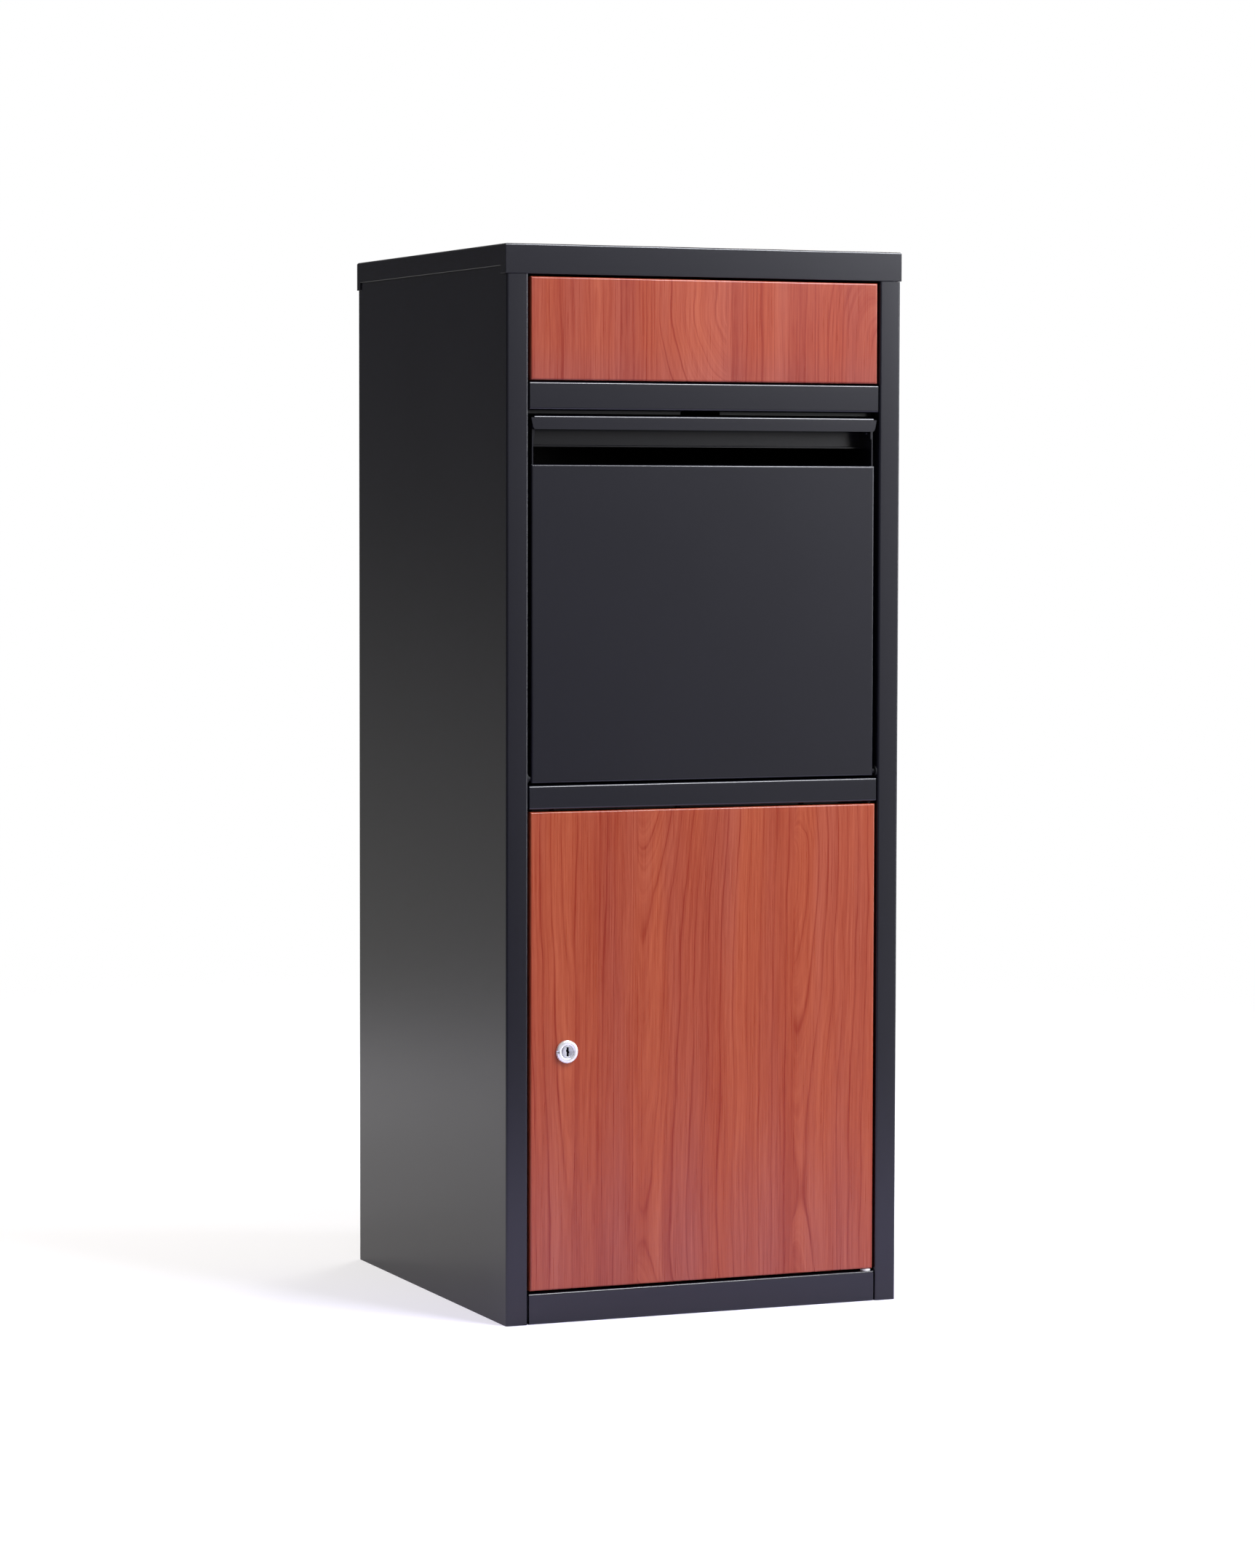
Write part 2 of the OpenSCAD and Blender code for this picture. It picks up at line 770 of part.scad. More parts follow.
left_side_panel();
right_side_panel();
back_panel();
top_cover();
base_pan();
upper_rail();
mid_rail();
top_fascia_panel();
fascia_carrier();
fascia_screws();
rear_baffle();
back_panel_rivets();
hopper_pivot_bushes();
hopper_opening_stops();
hopper_rest_brackets();
hopper_rest_buffers();
door_lower_bush();
door_upper_bush();
door_bumpers();
hopper_front_panel();
hopper_left_cheek();
hopper_right_cheek();
chute_plate();
handle_bar();
hopper_pivot_pins();
hopper_rivets();
door_panel();
door_stiffener();
door_pivot_blocks();
door_pivot_pins();
lock_housing();
lock_nut();
lock_plug();
lock_cam();
cam_screw();
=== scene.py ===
"""Looks of a free-standing parcel drop box: materials, small detailed pieces, camera and light."""
import json
import math
from collections import namedtuple

import bmesh
import bpy
from mathutils import Matrix, Vector


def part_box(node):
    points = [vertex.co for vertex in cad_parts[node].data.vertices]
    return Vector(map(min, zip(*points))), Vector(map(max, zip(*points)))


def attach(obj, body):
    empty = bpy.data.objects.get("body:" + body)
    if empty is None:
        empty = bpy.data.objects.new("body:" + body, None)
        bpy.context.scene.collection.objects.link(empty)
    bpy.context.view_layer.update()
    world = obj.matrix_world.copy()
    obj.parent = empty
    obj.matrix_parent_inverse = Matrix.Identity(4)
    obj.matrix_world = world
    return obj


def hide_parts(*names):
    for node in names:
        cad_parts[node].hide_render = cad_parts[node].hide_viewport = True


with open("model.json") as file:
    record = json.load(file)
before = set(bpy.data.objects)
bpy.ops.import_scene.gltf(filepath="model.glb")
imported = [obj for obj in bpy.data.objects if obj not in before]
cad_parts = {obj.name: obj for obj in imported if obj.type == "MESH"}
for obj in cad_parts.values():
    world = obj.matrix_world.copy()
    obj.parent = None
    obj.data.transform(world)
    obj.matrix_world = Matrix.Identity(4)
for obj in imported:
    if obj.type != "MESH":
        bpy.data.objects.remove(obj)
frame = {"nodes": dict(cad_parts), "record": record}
NODES = frame["nodes"]
BODY_OF = {node: body for body, nodes in frame["record"]["behaviour"]["bodies"].items() for node in nodes}
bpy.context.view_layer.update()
MM = 0.001
SHEET = 1.2                                  # millimetres of steel, in every folded sheet


# ---- Camera ----

CAMERA_AT = (-1.7660, -4.2620, 0.7857)      # metres, in the cabinet's frame
CAMERA_HEADING = -22.575                     # degrees round Z
CAMERA_DOWN = 3.571                          # degrees below the horizon
CAMERA_ROLL = 0.132                          # degrees
SENSOR = 36.0                                # millimetres, on the picture's long side
LENS = 106.39


def make_camera():
    data = bpy.data.cameras.new("camera")
    data.sensor_width = SENSOR
    data.sensor_fit = "AUTO"
    data.lens = LENS
    data.clip_start = 0.1
    data.clip_end = 100
    camera = bpy.data.objects.new("camera", data)
    turn = Matrix.Rotation(math.radians(CAMERA_HEADING), 4, "Z")
    tip = Matrix.Rotation(math.radians(90 - CAMERA_DOWN), 4, "X")
    roll = Matrix.Rotation(math.radians(CAMERA_ROLL), 4, "Z")
    camera.matrix_world = Matrix.Translation(CAMERA_AT) @ turn @ tip @ roll
    bpy.context.scene.collection.objects.link(camera)
    bpy.context.scene.camera = camera


# ---- Light and floor ----

Softbox = namedtuple("Softbox", "name at aim size power tint")
WHITE = (1.0, 1.0, 1.0)
COOL = (0.92, 0.94, 1.0)
WARM = (1.0, 0.985, 0.90)
SOFTBOXES = [
    Softbox("overhead", (0.85, -1.35, 2.4), (0.1, -0.2, 0.3), (1.1, 0.8), 85, COOL),
    Softbox("front_right", (2.4, -3.1, 1.75), (0, -0.2, 0.6), (1.1, 1.1), 38, COOL),
    Softbox("right", (3.2, -1.3, 1.0), (0, -0.2, 0.6), (0.6, 1.9), 52, COOL),
    Softbox("back_left", (-1.3, 1.1, 2.6), (-0.2, 0.3, 0), (1.4, 1.4), 45, WARM),
    Softbox("back_right", (2.4, 2.6, 2.0), (0, 0.2, 0.5), (1.5, 1.5), 40, WARM),
]
ROOM_DIM = 0.06                              # what a reflection shows between the softboxes
ROOM_CEILING = 0.5
ROOM_WALL = 0.80                             # of a paler wall in front to the right
WALL_FROM = (0.32, 0.50)                     # how far to the right it fades in
WALL_TOP = 0.32                              # added above the horizon
CEILING_RISE = (0.15, 0.9)                   # heights of a direction, from the horizon's 0 to 1 overhead
WALL_FACING = (-0.4, -0.8)                   # how far to the front the wall fades in
WALL_RISE = (-0.02, 0.06)                    # where WALL_TOP comes in
WALL_HEAD = (0.5, 0.1)                       # where the wall gives way to the ceiling
ROOM_GLOW = 0.42                             # of the studio's sweep, low behind the cabinet
GLOW_BELOW = (0.03, -0.16)
GLOW_BEHIND = (-0.2, 0.6)
GLOW_TINT = (1.0, 0.99, 0.93)
FLOOR_AT = (-0.3, 0.5)                       # the pale floor's middle lies behind the cabinet
FLOOR_R = 4.0
FLOOR_FADE = (1.1, 2.7)                      # where it fades, in metres from its middle
FLOOR_BACK = (0.69, 0.675, 0.71)
FLOOR_FRONT = (0.66, 0.62, 0.86)             # in the bluer light of the front softboxes
FLOOR_TURN = (-0.2, -1.0)                    # from there on, in metres behind the floor's middle
FLOOR_LIFT = 0.34                            # lightens the floor's shadows, for the camera alone


def make_softbox(box):
    data = bpy.data.lights.new(box.name, "AREA")
    data.shape = "RECTANGLE"
    data.size, data.size_y = box.size
    data.energy = box.power
    data.color = box.tint
    light = bpy.data.objects.new(box.name, data)
    light.location = box.at
    light.rotation_euler = (Vector(box.aim) - Vector(box.at)).to_track_quat("-Z", "Y").to_euler()
    light.visible_camera = False
    bpy.context.scene.collection.objects.link(light)


def make_world():
    """A white backdrop for the camera, and for light and reflections a dim studio with a paler ceiling,
    a paler wall in front and a glow low down behind the cabinet."""
    world = bpy.data.worlds.new("studio")
    bpy.context.scene.world = world
    world.use_nodes = True
    look = Look(tree=world.node_tree)
    towards = look.node("ShaderNodeTexCoord").outputs["Generated"]
    right, back, up = look.axes(towards)
    wall = look.between(right, *WALL_FROM, 0.0, ROOM_WALL, smooth=True)
    wall = look.math("ADD", wall, look.between(up, *WALL_RISE, 0.0, WALL_TOP, smooth=True))
    wall = look.math("MULTIPLY", wall, look.between(back, *WALL_FACING, smooth=True))
    wall = look.math("MULTIPLY", wall, look.between(up, *WALL_HEAD, smooth=True))
    ceiling = look.between(up, *CEILING_RISE, ROOM_DIM, ROOM_CEILING, smooth=True)
    low_down = look.between(up, *GLOW_BELOW, smooth=True)
    behind = look.between(back, *GLOW_BEHIND, smooth=True)
    glow = look.math("MULTIPLY", look.math("MULTIPLY", low_down, behind), ROOM_GLOW)
    room = look.node("ShaderNodeBackground")
    room.inputs["Color"].default_value = look.plain(WHITE)
    look.put(room.inputs["Strength"], look.math("ADD", ceiling, wall))
    sweep = look.node("ShaderNodeBackground")
    sweep.inputs["Color"].default_value = look.plain(GLOW_TINT)
    look.put(sweep.inputs["Strength"], glow)
    studio = look.node("ShaderNodeAddShader")
    look.put(studio.inputs[0], room.outputs[0])
    look.put(studio.inputs[1], sweep.outputs[0])
    backdrop = look.node("ShaderNodeBackground")
    backdrop.inputs["Color"].default_value = look.plain(WHITE)
    choose = look.node("ShaderNodeMixShader")
    look.put(choose.inputs[0], look.node("ShaderNodeLightPath").outputs["Is Camera Ray"])
    look.put(choose.inputs[1], studio.outputs[0])
    look.put(choose.inputs[2], backdrop.outputs[0])
    look.put(look.node("ShaderNodeOutputWorld").inputs["Surface"], choose.outputs[0])
    bpy.context.scene.view_settings.view_transform = "Standard"


def make_floor():
    """A pale round floor that fades into the backdrop."""
    mesh = bpy.data.meshes.new("floor")
    disc = bmesh.new()
    bmesh.ops.create_circle(disc, cap_ends=True, segments=96, radius=FLOOR_R)
    disc.to_mesh(mesh)
    disc.free()
    floor = bpy.data.objects.new("floor", mesh)
    floor.location = (*FLOOR_AT, 0)
    bpy.context.scene.collection.objects.link(floor)
    look = Look("pale_floor")
    shader = look.node("ShaderNodeBsdfDiffuse")
    ahead = look.between(look.axes(look.where)[1], *FLOOR_TURN, smooth=True)
    look.put(shader.inputs["Color"], look.mix(ahead, look.plain(FLOOR_BACK), look.plain(FLOOR_FRONT)))
    lift = look.node("ShaderNodeEmission")
    seen = look.node("ShaderNodeLightPath").outputs["Is Camera Ray"]
    look.put(lift.inputs["Strength"], look.math("MULTIPLY", seen, FLOOR_LIFT))
    pale = look.node("ShaderNodeAddShader")
    look.put(pale.inputs[0], shader.outputs[0])
    look.put(pale.inputs[1], lift.outputs[0])
    away = look.node("ShaderNodeVectorMath", operation="LENGTH")
    look.put(away.inputs[0], look.where)
    share = look.between(away.outputs["Value"], *FLOOR_FADE, smooth=True)
    fade = look.node("ShaderNodeMixShader")
    look.put(fade.inputs[0], share)
    look.put(fade.inputs[1], pale.outputs[0])
    look.put(fade.inputs[2], look.node("ShaderNodeBsdfTransparent").outputs[0])
    look.put(look.node("ShaderNodeOutputMaterial").inputs["Surface"], fade.outputs[0])
    mesh.materials.append(look.material)


# ---- Materials ----

class Look:
    """A material's node tree, built a node at a time. Sockets are handed from call to call."""

    def __init__(self, name="look", tree=None):
        if tree is None:
            self.material = bpy.data.materials.new(name)
            self.material.use_nodes = True
            tree = self.material.node_tree
        self.tree = tree
        self.tree.nodes.clear()
        self.where = self.node("ShaderNodeTexCoord").outputs["Object"]

    def node(self, kind, **settings):
        made = self.tree.nodes.new(kind)
        for key, value in settings.items():
            setattr(made, key, value)
        return made

    def put(self, socket, value):
        if isinstance(value, bpy.types.NodeSocket):
            self.tree.links.new(value, socket)
        else:
            socket.default_value = value

    def math(self, operation, a, b=0.0, c=0.0, clamp=False):
        made = self.node("ShaderNodeMath", operation=operation, use_clamp=clamp)
        for socket, value in zip(made.inputs, (a, b, c)):
            self.put(socket, value)
        return made.outputs[0]

    def stretch(self, scale, shift=(0, 0, 0)):
        """The object's own coordinates, in metres, times scale, plus shift."""
        made = self.node("ShaderNodeMapping")
        self.put(made.inputs["Vector"], self.where)
        made.inputs["Scale"].default_value = scale
        made.inputs["Location"].default_value = shift
        return made.outputs[0]

    def noise(self, vector, scale=1.0, detail=2.0, roughness=0.5):
        made = self.node("ShaderNodeTexNoise")
        self.put(made.inputs["Vector"], vector)
        made.inputs["Scale"].default_value = scale
        made.inputs["Detail"].default_value = detail
        made.inputs["Roughness"].default_value = roughness
        return made.outputs["Fac"]

    def offset(self, noise):
        """A noise that swings about zero."""
        return self.math("SUBTRACT", noise, 0.5)

    def axes(self, vector):
        made = self.node("ShaderNodeSeparateXYZ")
        self.put(made.inputs[0], vector)
        return made.outputs

    def between(self, value, low, high, out_low=0.0, out_high=1.0, smooth=False):
        kind = "SMOOTHSTEP" if smooth else "LINEAR"
        made = self.node("ShaderNodeMapRange", interpolation_type=kind)
        for socket, given in zip(made.inputs, (value, low, high, out_low, out_high)):
            self.put(socket, given)
        return made.outputs[0]

    def curve(self, value, points):
        """A smooth line through (input, output) points, with inputs from 0 to 1."""
        made = self.node("ShaderNodeFloatCurve")
        line = made.mapping.curves[0].points
        while len(line) < len(points):
            line.new(0.5, 0.5)
        made.mapping.clip_min_y, made.mapping.clip_max_y = -10, 10
        for point, place in zip(line, points):
            point.location = place
        made.mapping.update()
        self.put(made.inputs["Value"], value)
        return made.outputs[0]

    def plain(self, colour):
        return (*colour, 1.0)

    def choose(self, share, a, b):
        made = self.node("ShaderNodeMix", data_type="FLOAT")
        for socket, value in zip(made.inputs, (share, None, a, b)):
            if value is not None:
                self.put(socket, value)
        return made.outputs[0]

    def mix(self, share, a, b):
        made = self.node("ShaderNodeMix", data_type="RGBA")
        self.put(made.inputs[0], share)
        self.put(made.inputs[6], a)
        self.put(made.inputs[7], b)
        return made.outputs[2]

    def bump(self, height, distance, strength=0.5, under=None):
        made = self.node("ShaderNodeBump")
        self.put(made.inputs["Height"], height)
        made.inputs["Distance"].default_value = distance
        made.inputs["Strength"].default_value = strength
        if under is not None:
            self.put(made.inputs["Normal"], under)
        return made.outputs[0]

    def finish(self, colour, roughness, normal, metallic=0.0, specular=0.5):
        shader = self.node("ShaderNodeBsdfPrincipled")
        self.put(shader.inputs["Base Color"], colour)
        self.put(shader.inputs["Roughness"], roughness)
        self.put(shader.inputs["Normal"], normal)
        shader.inputs["Metallic"].default_value = metallic
        shader.inputs["Specular IOR Level"].default_value = specular
        output = self.node("ShaderNodeOutputMaterial")
        self.tree.links.new(shader.outputs[0], output.inputs["Surface"])
        return self.material


PAINT_DARK = (0.0050, 0.0050, 0.0085)
PAINT_LIGHT = (0.0075, 0.0073, 0.0120)
PAINT_ROUGH = (0.22, 0.24)
PEEL_DEPTH = 0.000002                        # metres
GRIT_DEPTH = 0.0000005


def black_paint():
    """Powder coat: an orange peel of about 2.5 mm, a finer grit, and a slow change of tone."""
    look = Look("black_paint")
    peel = look.noise(look.where, scale=400, detail=1)
    grit = look.noise(look.where, scale=2400, detail=1)
    tone = look.noise(look.where, scale=3.5, detail=3)
    colour = look.mix(tone, look.plain(PAINT_DARK), look.plain(PAINT_LIGHT))
    rough = look.between(tone, 0.3, 0.7, *PAINT_ROUGH)
    normal = look.bump(peel, PEEL_DEPTH)
    normal = look.bump(grit, GRIT_DEPTH, under=normal)
    return look.finish(colour, rough, normal)


# A half-cathedral figure of the wood print, between two distances from the panel's left side. It grows
# from its edge, where its lines close: rings are the ring numbers that meet the edge, and lean is how
# far the rings beyond drift with them, both by share of the panel's height from the bottom.
Figure = namedtuple("Figure", "edge end pitch rings lean")
DOOR_FIGURES = [
    Figure(0.042, 0.0, 0.011,
           [(0, 2.0), (0.2, 1.9), (0.4, 1.6), (0.63, 1.0), (0.85, 0.1), (1, 0.0)],
           [(0, 1.2), (0.3, 1.0), (0.63, 0.5), (0.8, 0.1), (1, 0.0)]),
    Figure(0.110, 0.273, 0.013,
           [(0, 1.8), (0.04, 2.4), (0.09, 3.0), (0.12, 3.1), (0.17, 3.0), (0.3, 2.7), (0.5, 2.4),
            (0.7, 2.2), (0.82, 2.0), (0.93, 1.0), (1, 0.3)],
           [(0, 1.8), (0.1, 2.3), (0.23, 2.3), (0.4, 2.0), (0.56, 1.6), (0.78, 1.2), (0.85, 0.6),
            (0.93, -0.3), (1, -1.2)]),
    Figure(0.273, 0.380, 0.011,
           [(0, 1.9), (0.05, 2.3), (0.12, 3.0), (0.16, 3.2), (0.27, 3.0), (0.4, 2.5), (0.54, 2.0),
            (0.66, 1.0), (0.75, 0.3), (0.87, -0.4), (0.95, 1.0), (1, 1.6)],
           [(0, 1.2), (0.12, 1.6), (0.27, 1.7), (0.4, 1.5), (0.5, 1.0), (0.6, 0.4), (0.7, 0.1),
            (0.87, -0.4), (1, -0.3)]),
]
FASCIA_FIGURES = [
    Figure(0.200, 0.130, 0.013,
           [(0, 1.9), (0.12, 1.2), (0.3, 0.4), (0.5, -0.5), (0.7, -1.0), (1, -0.9)],
           [(0, 1.6), (0.12, 0.9), (0.3, 0.1), (0.5, -0.8), (0.7, -1.2), (0.9, -0.9), (1, -1.0)]),
    Figure(0.362, 0.300, 0.014,
           [(0, 0.0), (0.35, 0.3), (0.63, 1.0), (0.84, 2.0), (0.97, 3.0), (1, 3.2)],
           [(0, 0.0), (0.5, 0.1), (0.8, 0.6), (1, 1.2)]),
]
# How pale the print is, by share of the panel's width
DOOR_TONES = [(0, 0.50), (0.05, 0.55), (0.11, 0.60), (0.13, 0.40), (0.24, 0.38), (0.31, 0.50),
              (0.36, 0.62), (0.39, 0.44), (0.46, 0.48), (0.55, 0.40), (0.59, 0.62), (0.64, 0.56),
              (0.72, 0.40), (0.76, 0.42), (0.79, 0.62), (0.88, 0.56), (1, 0.50)]
FASCIA_TONES = [(0, 0.48), (0.12, 0.45), (0.40, 0.44), (0.44, 0.50), (0.50, 0.62), (0.55, 0.64),
                (0.58, 0.36), (0.66, 0.36), (0.71, 0.46), (0.75, 0.31), (0.92, 0.28), (1, 0.37)]
WOOD_DARK = (0.222, 0.0165, 0.0012)
WOOD_LIGHT = (0.388, 0.0850, 0.0330)
PINK_DARK = (0.190, 0.0180, 0.0105)          # plum tones, mixed in by zones and more towards the bottom
PINK_LIGHT = (0.345, 0.0880, 0.0580)
PINK_BELOW = 0.40                            # share of the panel's height
RING_PITCH = 0.0056                          # metres between ring lines where the grain is straight
RING_LINE = 0.0009                           # half the width of a ring line
FIGURE_TIP = 0.010                           # how far in a figure's closing ends reach
FIGURE_LEAN = 0.060
TIP_SOFT = 0.007                             # ring lines fade where a figure closes
TIP_CLEAR = 0.3                              # what is left of them there
WIDE_RINGS = (0.006, 0.010)                  # ring pitch from which lines are stronger
FAINT_LINE = (0.02, 0.20)                    # of the weakest line, for narrow and wide rings
STRONG_LINE = (0.38, 0.46)
SHADE_WIDTH = 3 * RING_LINE                  # of the soft shade beside a ring line
SHADE = 0.35
WAVE, FIGURE_WAVE, UNEVEN = 1.6, 0.9, 5.0    # by how many rings each moves the ring lines
BROAD, STREAKS, FIBRES, FLECKS = 0.55, 1.0, 0.75, 0.35      # how much each changes the tone
PINK_ZONES = 1.8
PINK_LOW_DOWN = 0.5
WOOD_ROUGH = (0.27, 0.31)
WOOD_SPECULAR = 0.45
FIBRE_DEPTH = 0.000004                       # metres
# How fine the print's noises are, per metre along the width, the depth and the height
WAVE_GRAIN = (14, 5, 6)
UNEVEN_GRAIN = (60, 5, 0.7)
FIBRE_GRAIN = (800, 100, 13)
FLECK_GRAIN = (1900, 100, 60)
BROAD_GRAIN = (38, 5, 1.6)
BROKEN_GRAIN = (90, 5, 9)                    # where ring lines come and go
PINK_GRAIN = (24, 5, 1.8)
STREAK_GRAIN = (420, 4.5)                    # across the rings, and along the height


def wood_print(name, node, figures, tones, seed, pinkness):
    """Cherry-wood print: straight grain and half-cathedral figures, ring lines and fibres, satin coat."""
    look = Look(name)
    low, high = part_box(node)
    x, _, z = look.axes(look.where)
    across = look.math("SUBTRACT", x, low.x)
    up = look.between(z, low.z, high.z)
    wave = look.offset(look.noise(look.stretch(WAVE_GRAIN, (seed, 0, 0)), detail=2))
    uneven = look.offset(look.noise(look.stretch(UNEVEN_GRAIN, (0, seed, 0)), detail=2))
    rings = look.math("MULTIPLY_ADD", across, 1 / RING_PITCH, look.math("MULTIPLY", uneven, UNEVEN))
    rings = look.math("MULTIPLY_ADD", wave, WAVE, rings)
    pitch = RING_PITCH
    clear = 1.0
    for figure in figures:
        start, stop = sorted((figure.edge, figure.end))
        side = math.copysign(1, figure.end - figure.edge)
        inside = look.math("MULTIPLY", look.math("GREATER_THAN", across, start),
                           look.math("LESS_THAN", across, stop))
        away = look.math("MULTIPLY", look.math("SUBTRACT", across, figure.edge), side)
        lean = look.curve(up, figure.lean)
        tip = look.math("SUBTRACT", look.curve(up, figure.rings), lean)
        ring = look.math("DIVIDE", away, figure.pitch)
        for bend, reach in ((lean, FIGURE_LEAN), (tip, FIGURE_TIP)):
            fall = look.math("EXPONENT", look.math("DIVIDE", away, -reach))
            ring = look.math("MULTIPLY_ADD", bend, fall, ring)
        ring = look.math("MULTIPLY_ADD", wave, FIGURE_WAVE, ring)
        rings = look.choose(inside, rings, ring)
        pitch = look.choose(inside, pitch, figure.pitch)
        clear = look.choose(inside, clear, look.between(away, 0.0, TIP_SOFT, TIP_CLEAR))
    grain = look.node("ShaderNodeCombineXYZ")
    across_rings, along = STREAK_GRAIN
    look.put(grain.inputs[0], look.math("MULTIPLY", rings, look.math("MULTIPLY", pitch, across_rings)))
    look.put(grain.inputs[2], look.math("MULTIPLY", z, along))
    streaks = look.offset(look.noise(grain.outputs[0], detail=3, roughness=0.65))
    fibres = look.offset(look.noise(look.stretch(FIBRE_GRAIN), detail=2, roughness=0.6))
    flecks = look.offset(look.noise(look.stretch(FLECK_GRAIN), detail=1))
    broad = look.offset(look.noise(look.stretch(BROAD_GRAIN, (seed * 2, 0, 0)), detail=3))
    tone = look.curve(look.between(x, low.x, high.x), tones)
    for part, share in ((broad, BROAD), (streaks, STREAKS), (fibres, FIBRES), (flecks, FLECKS)):
        tone = look.math("MULTIPLY_ADD", part, share, tone)
    number = look.math("FLOOR", look.math("ADD", rings, 0.5))
    pick = look.node("ShaderNodeTexWhiteNoise", noise_dimensions="1D")
    look.put(pick.inputs["W"], look.math("ADD", number, seed + 0.5))
    gap = look.math("MULTIPLY", look.math("PINGPONG", rings, 0.5), pitch)
    line = look.between(gap, 0.0, RING_LINE, 1.0, 0.0, smooth=True)
    shade = look.between(gap, 0.0, SHADE_WIDTH, SHADE, 0.0, smooth=True)
    faint = look.between(pitch, *WIDE_RINGS, *FAINT_LINE)
    strong = look.between(pitch, *WIDE_RINGS, *STRONG_LINE)
    depth = look.between(pick.outputs["Value"], 0, 1, faint, strong)
    broken = look.between(look.noise(look.stretch(BROKEN_GRAIN, (seed, 0, 0))), 0.35, 0.6, 0.55, 1.0)
    depth = look.math("MULTIPLY", look.math("MULTIPLY", depth, broken), clear)
    line = look.math("MULTIPLY", look.math("ADD", line, shade), depth)
    tone = look.between(look.math("SUBTRACT", tone, line), 0.0, 1.0)
    drift = look.offset(look.noise(look.stretch(PINK_GRAIN, (seed * 3, 0, 0)), detail=2))
    pink = look.between(up, PINK_BELOW, 0.0, pinkness, pinkness + PINK_LOW_DOWN, smooth=True)
    pink = look.math("MULTIPLY_ADD", drift, PINK_ZONES, pink, clamp=True)
    orange = look.mix(tone, look.plain(WOOD_DARK), look.plain(WOOD_LIGHT))
    plum = look.mix(tone, look.plain(PINK_DARK), look.plain(PINK_LIGHT))
    rough = look.between(fibres, -0.2, 0.2, *WOOD_ROUGH)
    colour = look.mix(pink, orange, plum)
    return look.finish(colour, rough, look.bump(fibres, FIBRE_DEPTH), specular=WOOD_SPECULAR)


def metal(name, colour, roughness, metallic=1.0):
    """Finely brushed or plated metal."""
    look = Look(name)
    brushed = look.noise(look.stretch((400, 400, 20)), detail=3)
    tint = look.mix(brushed, look.plain([c * 0.85 for c in colour]), look.plain(colour))
    rough = look.between(brushed, 0.3, 0.7, roughness * 0.8, roughness * 1.25)
    return look.finish(tint, rough, look.bump(brushed, 0.00001), metallic=metallic)


def soft_plastic(name, dark, light, roughness, specular=0.5):
    """Moulded plastic or rubber with a faint speckle. It also makes the near-black keyway look, which is
    painted shade inside the lock's keyway.
    """
    look = Look(name)
    speckle = look.noise(look.where, scale=900, detail=2)
    colour = look.mix(speckle, look.plain(dark), look.plain(light))
    return look.finish(colour, roughness, look.bump(speckle, 0.00002, 0.3), specular=specular)


LOOKS = {
    "black_paint": black_paint,
    "wood_print": lambda: wood_print("wood_print", "door_panel", DOOR_FIGURES, DOOR_TONES,
                                     seed=3.0, pinkness=0.12),
    "fascia_print": lambda: wood_print("fascia_print", "top_fascia_panel", FASCIA_FIGURES, FASCIA_TONES,
                                       seed=11.0, pinkness=0.36),
    "lock_metal": lambda: metal("lock_metal", (0.90, 0.90, 0.89), 0.26, metallic=0.65),
    "lock_face": lambda: metal("lock_face", (0.62, 0.63, 0.64), 0.3, metallic=0.9),
    # keyway: a near-black look for the keyway's cut faces, painted shade for the dark inside of the keyway
    "keyway": lambda: soft_plastic("keyway", (0.010, 0.010, 0.010), (0.020, 0.020, 0.020), 0.7, 0.2),
    "black_oxide": lambda: metal("black_oxide", (0.022, 0.022, 0.024), 0.55),
    "zinc": lambda: metal("zinc", (0.68, 0.68, 0.66), 0.38),
    "nylon": lambda: soft_plastic("nylon", (0.80, 0.79, 0.75), (0.88, 0.87, 0.84), 0.45),
    "black_nylon": lambda: soft_plastic("black_nylon", (0.006, 0.006, 0.007), (0.010, 0.010, 0.011),
                                        0.6, 0.2),
    "rubber": lambda: soft_plastic("rubber", (0.010, 0.010, 0.010), (0.018, 0.018, 0.018), 0.75, 0.3),
}


# CAD nodes whose edges are rounded, by how many millimetres
ROUNDED = {"hopper_opening_stops": 0.5, "hopper_rest_buffers": 0.9, "door_pivot_blocks": 0.6,
           "hopper_rest_brackets": 0.3, "top_cover": 0.5}
ROUND_OVER = math.radians(40)                # edges that turn by more are rounded
SHARP_SHEET = math.radians(32)               # edges that turn by more stay sharp in the shading
SHARP_PIECE = math.radians(38)
WELD = 0.01 * MM                             # points closer than this are one


def smooth_folds(piece):
    """Shades folds and bores smoothly and leaves flat faces flat."""
    normals = piece.data.attributes.get("custom_normal")
    if normals is not None:
        piece.data.attributes.remove(normals)
    piece.data.shade_smooth()
    weld = piece.modifiers.new("weld", "WELD")
    weld.merge_threshold = WELD
    if piece.name in ROUNDED:
        rounding = piece.modifiers.new("rounding", "BEVEL")
        rounding.width = ROUNDED[piece.name] * MM
        rounding.segments = 3
        rounding.limit_method = "ANGLE"
        rounding.angle_limit = ROUND_OVER
    split = piece.modifiers.new("sharp_edges", "EDGE_SPLIT")
    split.split_angle = SHARP_SHEET
    piece.modifiers.new("flat_faces", "WEIGHTED_NORMAL")


def paint_nodes():
    """Gives every CAD node the material of its slot."""
    made = {slot: build() for slot, build in LOOKS.items()}
    for row in frame["record"]["subparts"]:
        node = NODES[row["node"]]
        look = "fascia_print" if row["node"] == "top_fascia_panel" else row["material_slot"]
        node.data.materials.clear()
        node.data.materials.append(made[look])
        smooth_folds(node)
    return made


# ---- Pieces that replace plain CAD solids ----

